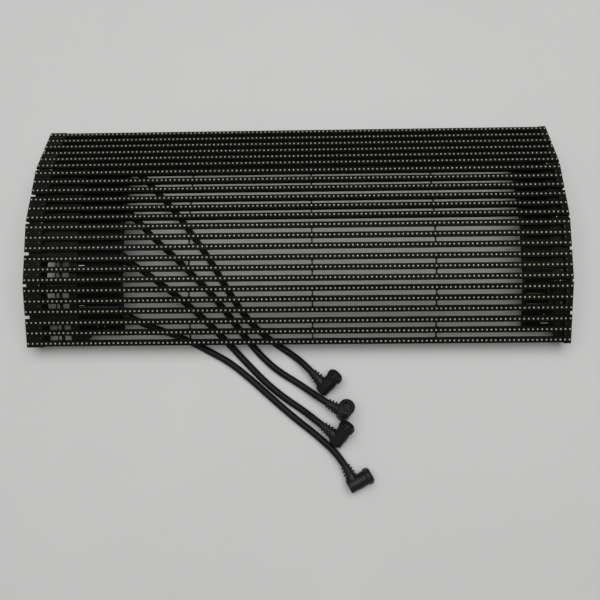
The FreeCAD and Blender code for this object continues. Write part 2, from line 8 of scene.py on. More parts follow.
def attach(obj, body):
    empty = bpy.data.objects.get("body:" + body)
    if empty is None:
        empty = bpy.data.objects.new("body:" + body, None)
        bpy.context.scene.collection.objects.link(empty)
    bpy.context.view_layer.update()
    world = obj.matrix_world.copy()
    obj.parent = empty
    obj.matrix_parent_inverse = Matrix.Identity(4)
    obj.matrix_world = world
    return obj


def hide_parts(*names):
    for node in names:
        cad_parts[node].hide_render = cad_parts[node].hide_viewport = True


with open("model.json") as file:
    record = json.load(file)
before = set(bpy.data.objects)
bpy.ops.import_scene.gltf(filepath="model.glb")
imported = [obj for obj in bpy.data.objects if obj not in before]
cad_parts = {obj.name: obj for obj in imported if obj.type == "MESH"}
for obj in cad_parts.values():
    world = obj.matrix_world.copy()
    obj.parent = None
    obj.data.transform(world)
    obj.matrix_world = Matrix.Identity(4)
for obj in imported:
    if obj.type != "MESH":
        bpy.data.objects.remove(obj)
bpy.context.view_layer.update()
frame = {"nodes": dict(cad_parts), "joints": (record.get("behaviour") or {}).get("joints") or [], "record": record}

# Sizes in metres, in the words of the part's own source. In a panel, X runs from the left edge of the
# screen, Y up the face from the lowest row, and a depth or back is measured behind the face.

SCREEN_WIDTH = 1.0
LEDS_IN_ROW = 120
LED_PITCH = SCREEN_WIDTH / LEDS_IN_ROW
ROWS_IN_MODULE = 3
ROW_PITCH = 0.01957
MODULE_PITCH = 0.02034
TOP_ROW = 4 * ROW_PITCH + MODULE_PITCH
HINGE_REACH = 0.00931
HINGE_DEPTH = 0.00365
HALF_FOLD = math.radians(8.22)
PANEL_LENGTH = TOP_ROW + 2 * HINGE_REACH
SLAT_DEPTH = 0.0073
PLATE_BACK = 0.0103
LEFT_RAIL_SIDE = 0.0065
RIGHT_RAIL_SIDE = 0.998
BOX_SPAN = (0.088, 0.174)
BOX_BACK = 0.040
LID_THICKNESS = 0.002
HUB_SPAN = (0.918, 0.969)
HUB_BACK = 0.036
FIRST_BOX_LOW = 0.017
PANELS = range(1, 5)
MODULES = {"lower": 0.0, "upper": 2 * ROW_PITCH + MODULE_PITCH}

LEAD_RADIUS = 0.0063
LEAD_INSERT = 0.012
ELBOW_REACH = 0.035
PLUG_ROLLS = [3, 30, 73, 28]

# Routes of the leads, from inside the power box's gland to inside the plug

LEAD_ROUTES = [
    [(-0.3286, -0.1566, 0.0375), (-0.2966, -0.1734, 0.0298), (-0.2620, -0.1850, 0.0180),
     (-0.2160, -0.2000, 0.0075), (-0.1700, -0.2235, 0.0064), (-0.1260, -0.2470, 0.0064),
     (-0.0865, -0.2790, 0.0064), (-0.0470, -0.3145, 0.0064), (-0.0060, -0.3500, 0.0064),
     (0.0365, -0.3830, 0.0064), (0.0758, -0.4195, 0.0134), (0.0904, -0.4461, 0.0134)],
    [(-0.3285, -0.0567, 0.0666), (-0.2972, -0.0761, 0.0638), (-0.2630, -0.0990, 0.0500),
     (-0.2260, -0.1240, 0.0280), (-0.1900, -0.1520, 0.0110), (-0.1560, -0.1840, 0.0064),
     (-0.1240, -0.2170, 0.0064), (-0.0940, -0.2490, 0.0064), (-0.0570, -0.2870, 0.0064),
     (-0.0210, -0.3160, 0.0064), (0.0100, -0.3365, 0.0064), (0.0333, -0.3558, 0.0166),
     (0.0560, -0.3739, 0.0166)],
    [(-0.3284, 0.0357, 0.0697), (-0.2992, 0.0132, 0.0729), (-0.2680, -0.0200, 0.0540),
     (-0.2340, -0.0460, 0.0280), (-0.2030, -0.0760, 0.0110), (-0.1680, -0.1100, 0.0064),
     (-0.1360, -0.1490, 0.0064), (-0.1040, -0.1920, 0.0064), (-0.0730, -0.2300, 0.0064),
     (-0.0380, -0.2630, 0.0064), (0.0060, -0.2900, 0.0064), (0.0416, -0.3168, 0.0155),
     (0.0649, -0.3307, 0.0155)],
    [(-0.3284, 0.1336, 0.0481), (-0.2992, 0.1129, 0.0576), (-0.2720, 0.0830, 0.0440),
     (-0.2360, 0.0480, 0.0220), (-0.2080, 0.0100, 0.0080), (-0.1700, -0.0440, 0.0064),
     (-0.1410, -0.0940, 0.0064), (-0.1120, -0.1410, 0.0064), (-0.0790, -0.1820, 0.0064),
     (-0.0420, -0.2120, 0.0064), (-0.0050, -0.2365, 0.0064), (0.0177, -0.2581, 0.0165),
     (0.0361, -0.2779, 0.0165)],
]


# Camera, where a fit to 2,751 LEDs of the photograph, in 23 of its 24 rows, puts it

CAMERA_PLACE = (0.03092, -0.47497, 1.22775)
CAMERA_FORWARD = (-0.01991, 0.27591, -0.96098)
CAMERA_RIGHT = (0.99976, -0.00342, -0.02169)
LENS_MM = 39.80
SENSOR_MM = 36.0
LENS_SHIFT = -0.0025
NEAREST_SEEN = 0.05
FARTHEST_SEEN = 50


def make_camera():
    data = bpy.data.cameras.new("camera")
    data.lens = LENS_MM
    data.sensor_width = SENSOR_MM
    data.shift_y = LENS_SHIFT
    data.clip_start = NEAREST_SEEN
    data.clip_end = FARTHEST_SEEN
    camera = bpy.data.objects.new("camera", data)
    bpy.context.scene.collection.objects.link(camera)
    right = Vector(CAMERA_RIGHT).normalized()
    forward = Vector(CAMERA_FORWARD).normalized()
    up = right.cross(forward).normalized()
    turn = Matrix((right, up, -forward)).transposed()
    camera.matrix_world = Matrix.Translation(CAMERA_PLACE) @ turn.to_4x4()
    bpy.context.scene.camera = camera


make_camera()


# Node materials: each is a Principled shader with its colour, gloss and bump from noise

class Nodes:
    """Short calls for the nodes of one material."""

    def __init__(self, name, metallic=0.0, coat=0.0, coat_roughness=0.1, sheen=0.0, gloss=0.5):
        self.material = bpy.data.materials.new(name)
        self.material.use_nodes = True
        self.tree = self.material.node_tree
        self.shader = self.tree.nodes["Principled BSDF"]
        self.shader.inputs["Metallic"].default_value = metallic
        self.shader.inputs["Coat Weight"].default_value = coat
        self.shader.inputs["Coat Roughness"].default_value = coat_roughness
        self.shader.inputs["Sheen Weight"].default_value = sheen
        self.shader.inputs["Specular IOR Level"].default_value = gloss
        self.place = self.tree.nodes.new("ShaderNodeTexCoord").outputs["Object"]

    def join(self, start, end):
        self.tree.links.new(start, end)

    def scaled(self, factors):
        """The object's own coordinates, stretched by a factor for each axis."""
        node = self.tree.nodes.new("ShaderNodeVectorMath")
        node.operation = "MULTIPLY"
        self.join(self.place, node.inputs[0])
        node.inputs[1].default_value = factors
        return node.outputs[0]

    def noise(self, scale, detail=3.0, roughness=0.5, stretch=None):
        node = self.tree.nodes.new("ShaderNodeTexNoise")
        node.inputs["Scale"].default_value = scale
        node.inputs["Detail"].default_value = detail
        node.inputs["Roughness"].default_value = roughness
        self.join(self.scaled(stretch) if stretch else self.place, node.inputs["Vector"])
        return node.outputs["Fac"]

    def ramp(self, factor, low, high, start=0.0, end=1.0):
        """A value or colour that goes from low to high as the factor goes from start to end."""
        if isinstance(low, (int, float)):
            node = self.tree.nodes.new("ShaderNodeMapRange")
            for key, value in (("From Min", start), ("From Max", end), ("To Min", low), ("To Max", high)):
                node.inputs[key].default_value = value
            self.join(factor, node.inputs["Value"])
            return node.outputs["Result"]
        node = self.tree.nodes.new("ShaderNodeValToRGB")
        stops = node.color_ramp.elements
        stops[0].position = start
        stops[1].position = end
        stops[0].color = (*low, 1)
        stops[1].color = (*high, 1)
        self.join(factor, node.inputs["Fac"])
        return node.outputs["Color"]

    def colour(self, source):
        self.join(source, self.shader.inputs["Base Color"])

    def rough(self, source):
        self.join(source, self.shader.inputs["Roughness"])

    def bump(self, *layers):
        """Bump from layers of (height, strength, distance), the last one on top."""
        normal = None
        for height, strength, distance in layers:
            node = self.tree.nodes.new("ShaderNodeBump")
            node.inputs["Strength"].default_value = strength
            node.inputs["Distance"].default_value = distance
            self.join(height, node.inputs["Height"])
            if normal:
                self.join(normal, node.inputs["Normal"])
            normal = node.outputs["Normal"]
        self.join(normal, self.shader.inputs["Normal"])


def moulded(name, dark, light, roughness, grain=1400, grain_depth=0.00006, gloss=0.5):
    """Moulded plastic: a fine spark-eroded grain, slight clouding and worn, glossier patches."""
    made = Nodes(name, gloss=gloss)
    made.colour(made.ramp(made.noise(38, 4.0, 0.6), dark, light, 0.3, 0.72))
    made.rough(made.ramp(made.noise(90, 3.0), roughness - 0.07, roughness + 0.08, 0.3, 0.7))
    made.bump((made.noise(60, 2.0), 0.12, 0.0004), (made.noise(grain, 1.0), 0.5, grain_depth))
    return made.material


def painted(name, dark, light, roughness, gloss):
    """Powder coat on sheet: orange peel over slight waviness, with dust in the colour."""
    made = Nodes(name, gloss=gloss)
    made.colour(made.ramp(made.noise(55, 5.0, 0.65), dark, light, 0.35, 0.75))
    made.rough(made.ramp(made.noise(240, 2.0), roughness - 0.06, roughness + 0.1, 0.3, 0.7))
    made.bump((made.noise(25, 1.0), 0.1, 0.0006), (made.noise(750, 2.0), 0.55, 0.00012))
    return made.material


def solder_mask(name, dark, light):
    """Black board: faint copper tracks along the slats under a satin mask."""
    made = Nodes(name, gloss=0.04)
    tracks = made.noise(260, 2.0, 0.5, stretch=(0.12, 1, 1))
    track_edges = made.ramp(tracks, 0.0, 1.0, 0.48, 0.52)
    made.colour(made.ramp(tracks, dark, light, 0.42, 0.6))
    made.rough(made.ramp(made.noise(140, 3.0), 0.42, 0.6, 0.3, 0.7))
    made.bump((track_edges, 0.35, 0.00005), (made.noise(1500, 1.0), 0.3, 0.00003))
    return made.material


def rubber(name, dark, light, roughness):
    """Extruded jacket: slight unevenness, dust and a soft sheen."""
    made = Nodes(name, sheen=0.008, gloss=0.12)
    made.colour(made.ramp(made.noise(70, 5.0, 0.7), dark, light, 0.35, 0.8))
    made.rough(made.ramp(made.noise(160, 3.0), roughness - 0.06, roughness + 0.09, 0.3, 0.7))
    made.bump((made.noise(110, 3.0, 0.6), 0.25, 0.0003), (made.noise(1100, 1.0), 0.35, 0.00005))
    return made.material


def bare_metal(name, dark, light, roughness):
    """Turned or plated metal with fine scratches."""
    made = Nodes(name, metallic=1.0)
    smears = made.noise(900, 3.0, 0.7, stretch=(1, 6, 1))
    scratches = made.noise(1600, 2.0, 0.6, stretch=(1, 8, 1))
    made.colour(made.ramp(made.noise(300, 4.0), dark, light, 0.3, 0.7))
    made.rough(made.ramp(smears, roughness - 0.08, roughness + 0.1, 0.3, 0.7))
    made.bump((scratches, 0.25, 0.00003))
    return made.material


def led_shell():
    """Off-white moulded LED package, each one a little different."""
    made = Nodes("led_shell", gloss=0.35)
    made.colour(made.ramp(made.noise(120, 1.0), (0.375, 0.377, 0.352), (0.53, 0.53, 0.50), 0.35, 0.65))
    made.rough(made.ramp(made.noise(400, 2.0), 0.38, 0.5, 0.3, 0.7))
    made.bump((made.noise(2500, 1.0), 0.2, 0.00002))
    return made.material


def led_lens():
    """Milky resin in the package's well."""
    made = Nodes("led_lens", coat=0.5, coat_roughness=0.08)
    made.colour(made.ramp(made.noise(140, 1.0), (0.38, 0.378, 0.33), (0.55, 0.545, 0.49), 0.3, 0.7))
    made.rough(made.ramp(made.noise(700, 1.0), 0.18, 0.28, 0.3, 0.7))
    made.bump((made.noise(1800, 1.0), 0.15, 0.00002))
    return made.material


def driver_green():
    """Green circuit board with tracks across it."""
    made = Nodes("driver_green", coat=0.3, coat_roughness=0.2)
    tracks = made.noise(320, 2.0, 0.5, stretch=(1, 0.15, 1))
    made.colour(made.ramp(tracks, (0.012, 0.075, 0.028), (0.03, 0.15, 0.06), 0.46, 0.54))
    made.rough(made.ramp(made.noise(200, 2.0), 0.35, 0.5, 0.3, 0.7))
    made.bump((tracks, 0.3, 0.00006))
    return made.material


def floor_paper():
    """Pale grey paper, very slightly clouded."""
    made = Nodes("floor_paper")
    cloud = made.noise(3.0, 3.0, 0.6)
    made.colour(made.ramp(cloud, (0.598, 0.602, 0.594), (0.614, 0.617, 0.610), 0.3, 0.7))
    made.rough(made.ramp(made.noise(40, 2.0), 0.85, 0.95, 0.3, 0.7))
    made.bump((made.noise(500, 2.0), 0.05, 0.0001))
    return made.material


MATERIALS = {
    "slats": moulded("slat_plastic", (0.0046, 0.0050, 0.0026), (0.0080, 0.0085, 0.0050), 0.56,
                     grain=1500, grain_depth=0.00005, gloss=0.03),
    "led_board": solder_mask("board_mask", (0.0042, 0.0046, 0.0024), (0.0074, 0.0079, 0.0046)),
    "frame": painted("frame_paint", (0.0036, 0.0038, 0.0027), (0.0068, 0.0071, 0.0052), 0.52, gloss=0.07),
    "box": moulded("box_plastic", (0.0011, 0.0011, 0.0012), (0.0022, 0.0022, 0.0024), 0.46,
                   grain=1000, grain_depth=0.00009, gloss=0.035),
    "driver_board": driver_green(),
    "hinge_pin": bare_metal("pin_steel", (0.38, 0.38, 0.38), (0.52, 0.51, 0.49), 0.34),
    "lead": rubber("lead_rubber", (0.0032, 0.0032, 0.0028), (0.0068, 0.0066, 0.0060), 0.42),
    "plug": moulded("plug_nylon", (0.0036, 0.0036, 0.0032), (0.0066, 0.0065, 0.0058), 0.42,
                    grain=1200, grain_depth=0.00008, gloss=0.2),
    "ring": moulded("ring_nylon", (0.0036, 0.0036, 0.0036), (0.0070, 0.0069, 0.0066), 0.38,
                    grain=1200, grain_depth=0.00008, gloss=0.22),
}
LED_SHELL = led_shell()
LED_LENS = led_lens()
SOLDER = bare_metal("solder", (0.16, 0.16, 0.155), (0.26, 0.26, 0.25), 0.42)
SCREW_ZINC = bare_metal("screw_zinc", (0.30, 0.30, 0.29), (0.46, 0.45, 0.43), 0.36)
SCREW_BLACK = bare_metal("screw_black", (0.018, 0.018, 0.019), (0.035, 0.034, 0.033), 0.42)
CONTACT_BRASS = bare_metal("contact_brass", (0.10, 0.08, 0.04), (0.18, 0.14, 0.07), 0.30)
INSERT_BLACK = moulded("insert_plastic", (0.0050, 0.0050, 0.0046), (0.0085, 0.0085, 0.0078), 0.50,
                       gloss=0.2)
# Light grey for the thin lines and small screws on the box fronts: painted highlight, except on the one slanted
# wire
WIRE_AND_HIGHLIGHT_GREY = moulded("wire_and_highlight_grey", (0.10, 0.10, 0.10), (0.16, 0.16, 0.155), 0.45)


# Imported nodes: their finish, and how far their sharp edges are eased, for each material slot

BEVELS = {"slats": 0.00025, "frame": 0.0003, "box": 0.0005, "plug": 0.0005}
WELD_DISTANCE = 0.00001
EASED_FROM_ANGLE = math.radians(40)


def dress_nodes():
    """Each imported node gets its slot's material, and where the slot has a bevel, eased edges."""
    slots = {row["node"]: row["material_slot"] for row in frame["record"]["subparts"]}
    for name, node in frame["nodes"].items():
        slot = slots[name]
        node.data.materials.clear()
        node.data.materials.append(MATERIALS[slot])
        if slot in BEVELS:
            weld = node.modifiers.new("weld", "WELD")
            weld.merge_threshold = WELD_DISTANCE
            bevel = node.modifiers.new("eased_edges", "BEVEL")
            bevel.width = BEVELS[slot]
            bevel.segments = 2
            bevel.limit_method = "ANGLE"
            bevel.angle_limit = EASED_FROM_ANGLE


dress_nodes()


# Places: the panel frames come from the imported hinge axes, the plug frames from the leads' last runs

def hinge_points():
    """The five fold axes from front to back; the outer two lie one panel beyond the real ones."""
    folds = [Vector(joint["pos_m"]) for joint in frame["joints"] if joint["name"].startswith("fold")]
    slopes = [math.atan2(high.z - low.z, high.y - low.y) for low, high in zip(folds, folds[1:])]
    bend = slopes[0] - slopes[1]
    front_slope = slopes[0] + bend
    back_slope = slopes[1] - bend
    first = folds[0] - PANEL_LENGTH * Vector((0, math.cos(front_slope), math.sin(front_slope)))
    last = folds[2] + PANEL_LENGTH * Vector((0, math.cos(back_slope), math.sin(back_slope)))
    return [first, *folds, last]


HINGES = hinge_points()


def panel_matrix(panel, rise=0.0):
    """Panel frame: X from the left edge, Y up the face from the lowest row, Z out of the face."""
    low, high = HINGES[panel - 1], HINGES[panel]
    along = Vector((1, 0, 0))
    up = Vector((0, high.y - low.y, high.z - low.z)).normalized()
    out = along.cross(up)
    start = Vector((-SCREEN_WIDTH / 2, low.y, low.z)) + up * (HINGE_REACH + rise) + out * HINGE_DEPTH
    turn = Matrix((along, up, out)).transposed()
    return Matrix.Translation(start) @ turn.to_4x4()


def plug_matrix(panel):
    """Plug frame: the cable comes in along +X, the mouth looks along +Z."""
    before, last = (Vector(point) for point in LEAD_ROUTES[panel - 1][-2:])
    heading = (last - before).normalized()
    side = Vector((0, 0, 1)).cross(heading).normalized()
    lift = heading.cross(side)
    roll = math.radians(PLUG_ROLLS[panel - 1])
    mouth = side * math.cos(roll) + lift * math.sin(roll)
    turn = Matrix((heading, mouth.cross(heading), mouth)).transposed()
    return Matrix.Translation(last + heading * (ELBOW_REACH - LEAD_INSERT)) @ turn.to_4x4()


# Mesh helpers: pieces are lists of points and faces, with a material number for each face

CREASE_ANGLE = math.radians(35)


class Piece:
    """Points and faces of one piece, gathered from several shapes."""

    def __init__(self):
        self.points = []
        self.faces = []
        self.numbers = []
        self.smooth = []

    def add(self, points, faces, matrix=Matrix(), number=0, smooth=True):
        start = len(self.points)
        self.points += [matrix @ Vector(point) for point in points]
        self.faces += [[start + index for index in face] for face in faces]
        self.numbers += [number] * len(faces)
        self.smooth += [smooth] * len(faces)

    def build(self, name, body, materials):
        mesh = bpy.data.meshes.new(name)
        mesh.from_pydata([tuple(point) for point in self.points], [], self.faces)
        for polygon, number, smooth in zip(mesh.polygons, self.numbers, self.smooth):
            polygon.material_index = number
            polygon.use_smooth = smooth
        for material in materials:
            mesh.materials.append(material)
        mesh.set_sharp_from_angle(angle=CREASE_ANGLE)
        item = bpy.data.objects.new(name, mesh)
        bpy.context.scene.collection.objects.link(item)
        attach(item, body)
        return item


def rings(outlines, close_start=True, close_end=True):
    """Skin over closed outlines of equally many points, with flat ends."""
    count = len(outlines[0])
    points = [point for outline in outlines for point in outline]
    faces = []
    for level in range(len(outlines) - 1):
        low, high = level * count, (level + 1) * count
        for step in range(count):
            after = (step + 1) % count
            faces.append((low + step, low + after, high + after, high + step))
    if close_start:
        faces.append(tuple(reversed(range(count))))
    if close_end:
        faces.append(tuple(range(len(points) - count, len(points))))
    return points, faces


def lathe(profile, segments, radius_at=None, **ends):
    """Solid turned about Z from (radius, height) points; radius_at(angle, radius, height) may shape it."""
    outlines = []
    for radius, height in profile:
        outline = []
        for step in range(segments):
            angle = 2 * math.pi * step / segments
            reach = radius_at(angle, radius, height) if radius_at else radius
            outline.append((reach * math.cos(angle), reach * math.sin(angle), height))
        outlines.append(outline)
    return rings(outlines, **ends)


def hexagon_reach(angle, corner):
    """How far a hexagon reaches at an angle, where its corners reach as far as corner."""
    turn = angle % (math.pi / 3) - math.pi / 6
    return corner * math.cos(math.pi / 6) / math.cos(turn)


def add_block(piece, matrix, low, high, number=0, bevel=0.0):
    """Box between two corners, its edges at both ends of Z chamfered where a bevel is given."""
    (x0, y0, z0), (x1, y1, z1) = low, high

    def outline(inset, z):
        left, right, near, far = x0 + inset, x1 - inset, y0 + inset, y1 - inset
        return [(left, near, z), (right, near, z), (right, far, z), (left, far, z)]

    levels = [outline(0, z0), outline(0, z1)]
    if bevel:
        levels = [outline(bevel, z0), outline(0, z0 + bevel), outline(0, z1 - bevel), outline(bevel, z1)]
    piece.add(*rings(levels), matrix, number, smooth=False)


def smooth_curve(name, route, radius=0.0, roundness=0, steps=14):
    """Curve of one NURBS spline with the route's points as its control points."""
    curve = bpy.data.curves.new(name, "CURVE")
    curve.dimensions = "3D"
    curve.resolution_u = steps
    curve.bevel_depth = radius
    curve.bevel_resolution = roundness
    curve.use_fill_caps = radius > 0
    spline = curve.splines.new("NURBS")
    spline.points.add(len(route) - 1)
    for point, place in zip(spline.points, route):
        point.co = (*place, 1)
    spline.order_u = 3
    spline.use_endpoint_u = True
    return bpy.data.objects.new(name, curve)


def show_curve(item, material, body):
    item.data.materials.append(material)
    bpy.context.scene.collection.objects.link(item)
    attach(item, body)


# Leads, and what is on them. Heights of the ring and the socket are along the plug's mouth.

def lead_curve(panel):
    item = smooth_curve(f"lead_{panel}", LEAD_ROUTES[panel - 1], LEAD_RADIUS, roundness=7)
    show_curve(item, MATERIALS["lead"], f"panel_{panel}")
    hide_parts(f"panel_{panel}_lead")
    return item


RING_LOW, RING_HIGH = 0.01606, 0.0332
RING_BORE = 0.0108
RING_RADIUS = 0.0129
RING_CREST = 0.0146
RING_NOSE = 0.0122
GRIP_LOW, GRIP_HIGH = 0.0222, 0.0304
RING_RIBS = 12
RING_RIB_DEPTH = 0.0012
POINTS_ON_RING_RIB = 14


def coupling_ring(panel):
    """Bayonet ring: a plain skirt, a ribbed grip band and a smaller nose."""
    def ribbed(angle, radius, height):
        if radius <= RING_RADIUS or not GRIP_LOW < height < GRIP_HIGH:
            return radius
        wave = math.cos(angle * RING_RIBS)
        return radius - RING_RIB_DEPTH * max(0.0, min(1.0, 0.25 - 1.9 * wave))

    low, high = RING_LOW, RING_HIGH
    bore, radius, crest, nose = RING_BORE, RING_RADIUS, RING_CREST, RING_NOSE
    profile = [(bore, low + 0.0004), (bore + 0.0004, low), (radius - 0.0004, low),
               (radius, low + 0.0004), (radius, GRIP_LOW - 0.0010), (crest - 0.0004, GRIP_LOW),
               (crest, GRIP_LOW + 0.0006), (crest, GRIP_HIGH - 0.0006), (crest - 0.0004, GRIP_HIGH),
               (nose, GRIP_HIGH + 0.0008), (nose, high - 0.0008), (nose - 0.0007, high),
               (bore + 0.0006, high), (bore, high - 0.0006)]
    count = RING_RIBS * POINTS_ON_RING_RIB
    points, faces = lathe(profile, count, ribbed, close_start=False, close_end=False)
    last = (len(profile) - 1) * count
    for step in range(count):
        after = (step + 1) % count
        faces.append((last + step, last + after, after, step))
    piece = Piece()
    piece.add(points, faces, plug_matrix(panel))
    item = piece.build(f"coupling_ring_{panel}", f"ring_{panel}", [MATERIALS["ring"]])
    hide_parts(f"panel_{panel}_coupling_ring")
    return item


SOCKET_FLOOR, INSERT_FACE = 0.0226, 0.0296
INSERT_RADIUS = 0.0068
INSERT_EDGE = 0.0004
KEY_HALF_WIDTH = 0.0012
KEY_LOW, KEY_HIGH = 0.0066, 0.0079
KEY_RISE = 0.0012
CONTACTS = 6
CONTACT_CIRCLE = 0.0043
CONTACT_SLEEVE = [(0.00125, -0.0003), (0.00125, 0.0005), (0.00105, 0.0007), (0.00075, 0.0007),
                  (0.00070, -0.0002)]
CONTACT_PIN = [(0.00050, -0.0003), (0.00050, 0.0009), (0.0003, 0.0013)]


def socket_insert(panel):
    """Insulator at the bottom of the socket, with a key and sleeved contacts."""
    piece = Piece()
    here = plug_matrix(panel)
    radius, face = INSERT_RADIUS, INSERT_FACE
    insulator = [(radius, SOCKET_FLOOR), (radius, face - INSERT_EDGE), (radius - INSERT_EDGE, face),
                 (0.0002, face)]
    piece.add(*lathe(insulator, 48), here)
    add_block(piece, here, (-KEY_HALF_WIDTH, KEY_LOW, SOCKET_FLOOR),
              (KEY_HALF_WIDTH, KEY_HIGH, face + KEY_RISE))
    for number in range(CONTACTS):
        angle = 2 * math.pi * (number + 0.5) / CONTACTS
        x, y = CONTACT_CIRCLE * math.cos(angle), CONTACT_CIRCLE * math.sin(angle)
        spot = here @ Matrix.Translation((x, y, face))
        piece.add(*lathe(CONTACT_SLEEVE, 20), spot, 0)
        piece.add(*lathe(CONTACT_PIN, 14), spot, 1)
    return piece.build(f"socket_insert_{panel}", f"panel_{panel}", [INSERT_BLACK, CONTACT_BRASS])


NUT_LENGTH = 0.018
NUT_BORE = 0.0064
SLEEVE_RADIUS, SLEEVE_GROWTH = 0.0067, 0.0009
NUT_COLLARS = [(0.0006, 0.0085), (0.0068, 0.0095), (0.0132, 0.0105)]
COLLAR_WIDTH = 0.0032
COLLAR_RIM = 0.0008
COLLAR_TEETH = 9
TOOTH_DEPTH = 0.0009
POINTS_ON_TOOTH = 12


def gland_nut(panel):
    """Cable gland's cap: a tapered sleeve with three toothed collars, as (start, radius) along it."""
    start = -ELBOW_REACH

    def toothed(angle, radius, height):
        for low, crest in NUT_COLLARS:
            if low < height - start < low + COLLAR_WIDTH and radius > crest - COLLAR_RIM:
                return radius - TOOTH_DEPTH * max(0.0, -math.cos(angle * COLLAR_TEETH)) ** 0.5
        return radius

    def sleeve(along):
        return SLEEVE_RADIUS + SLEEVE_GROWTH * along / NUT_LENGTH

    profile = [(NUT_BORE, start), (sleeve(0) - 0.0003, start), (sleeve(0), start + 0.0003)]
    for low, crest in NUT_COLLARS:
        high = low + COLLAR_WIDTH
        profile += [(sleeve(low), start + low), (crest - 0.0003, start + low + 0.0001),
                    (crest, start + low + 0.0004), (crest, start + high - 0.0004),
                    (crest - 0.0003, start + high - 0.0001), (sleeve(high), start + high)]
    profile += [(sleeve(NUT_LENGTH), start + NUT_LENGTH)]
    along_cable = Matrix(((0, 0, 1), (0, 1, 0), (-1, 0, 0))).to_4x4()
    piece = Piece()
    piece.add(*lathe(profile, COLLAR_TEETH * POINTS_ON_TOOTH, toothed), plug_matrix(panel) @ along_cable)
    item = piece.build(f"gland_nut_{panel}", f"panel_{panel}", [MATERIALS["plug"]])
    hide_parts(f"panel_{panel}_gland_nut")
    return item


# Small forms on the plug's barrel: low corner, high corner and bevel

BARREL_FORMS = {
    "left_mould_seam": ((-0.00025, 0.0124, -0.0105), (0.00025, 0.0128, 0.0155), 0.0),
    "right_mould_seam": ((-0.00025, -0.0128, -0.0105), (0.00025, -0.0124, 0.0155), 0.0),
    "index_rib": ((0.0122, -0.0011, 0.0020), (0.0132, 0.0011, 0.0150), 0.0004),
    "locking_lug": ((-0.0024, -0.0134, 0.0105), (0.0024, -0.0120, 0.0155), 0.0005),
}


def plug_details(panel):
    """Mould seams along the elbow's barrel, an index rib and a locking lug under the ring."""
    here = plug_matrix(panel)
    piece = Piece()
    for low, high, bevel in BARREL_FORMS.values():
        add_block(piece, here, low, high, bevel=bevel)
    return piece.build(f"plug_details_{panel}", f"panel_{panel}", [MATERIALS["plug"]])


def route_length(route):
    """Length of the same spline without thickness."""
    line = bpy.data.meshes.new_from_object(smooth_curve("measured_route", route))
    runs = [line.vertices[edge.vertices[0]].co - line.vertices[edge.vertices[1]].co for edge in line.edges]
    return sum(run.length for run in runs)


def make_leads():
    for panel in PANELS:
        lead = lead_curve(panel)
        with_pieces = [coupling_ring(panel), socket_insert(panel), gland_nut(panel), plug_details(panel),
                       f"panel_{panel}_plug_body"]
        route = [Vector(point) for point in LEAD_ROUTES[panel - 1]]
        length = route_length(route)


make_leads()


# LED packages: 360 on each module. An outline is round at power 2 and nearly square at power 7.

LED_SIZE = 0.0024
LED_HEIGHT = 0.0010
LED_SINK = 0.0001
LED_EDGE = 0.00012
LED_SIDES = 12
WELL_RADIUS = 0.0009
WELL_DEPTH = 0.00035
LENS_EDGE_DEPTH = 0.00033
LENS_TOP_DEPTH = 0.00022
ROUND, SQUARE = 2, 7
PAD_SPREAD = 0.0007
PAD_HALF_WIDTH = 0.00025
PAD_LENGTH = 0.0004
PAD_HEIGHT = 0.00035


def led_package():
    """One package as (points, faces) and a material number: shell, lens and four solder fillets."""
    def outline(size, height, power):
        places = []
        for step in range(LED_SIDES):
            angle = 2 * math.pi * (step + 0.5) / LED_SIDES
            c, s = math.cos(angle), math.sin(angle)
            reach = size / (abs(c) ** power + abs(s) ** power) ** (1 / power)
            places.append((reach * c, reach * s, height))
        return places

    half = LED_SIZE / 2
    shell = rings([outline(half, -LED_SINK, SQUARE), outline(half, LED_HEIGHT - LED_EDGE, SQUARE),
                   outline(half - LED_EDGE, LED_HEIGHT, SQUARE), outline(WELL_RADIUS, LED_HEIGHT, ROUND),
                   outline(WELL_RADIUS - LED_EDGE, LED_HEIGHT - WELL_DEPTH, ROUND)],
                  close_start=False, close_end=False)
    lens = rings([outline(WELL_RADIUS - 0.00010, LED_HEIGHT - LENS_EDGE_DEPTH, ROUND),
                  outline(WELL_RADIUS * 0.5, LED_HEIGHT - LENS_TOP_DEPTH, ROUND)], close_start=False)
    shapes = [(shell, 0), (lens, 1)]
    for side in (-1, 1):
        near, far = side * (half - 0.0001), side * (half + PAD_LENGTH)
        for across in (-PAD_SPREAD, PAD_SPREAD):
            left, right = across - PAD_HALF_WIDTH, across + PAD_HALF_WIDTH
            points = [(left, near, PAD_HEIGHT), (right, near, PAD_HEIGHT), (right, far, 0), (left, far, 0),
                      (left, near, 0), (right, near, 0)]
            shapes.append(((points, [(0, 1, 2, 3), (0, 3, 4), (1, 5, 2)]), 2))
    return shapes


def led_rows(panel, module, rise):
    """All packages of one module."""
    piece = Piece()
    here = panel_matrix(panel, rise)
    package = led_package()
    for row in range(ROWS_IN_MODULE):
        for number in range(LEDS_IN_ROW):
            spot = here @ Matrix.Translation(((number + 0.5) * LED_PITCH, row * ROW_PITCH, 0))
            for (points, faces), material in package:
                piece.add(points, faces, spot, material)
    return piece.build(f"panel_{panel}_{module}_leds", f"panel_{panel}", [LED_SHELL, LED_LENS, SOLDER])


for panel in PANELS:
    for module, rise in MODULES.items():
        led_rows(panel, module, rise)


# Back covers: a shallow snapped-on cover along the back of each bar, between the side frames

COVER_SPAN = (0.128, 0.949)
COVER_HEIGHT = 0.0102
COVER_SINK = 0.0003
COVER_DEPTH = 0.0018
COVER_CORNER = 0.0007
GROOVE_DEPTH = 0.0004
GROOVE_MOUTH = 0.0012
GROOVE_FLOOR = 0.0009
LUGS = 9
FIRST_LUG = 0.006
LUG_PITCH = 0.0912
LUG_LENGTH = 0.0040
LUG_HALF_HEIGHT = 0.0024
LUG_RISE = 0.0003
LUG_SINK = 0.0006


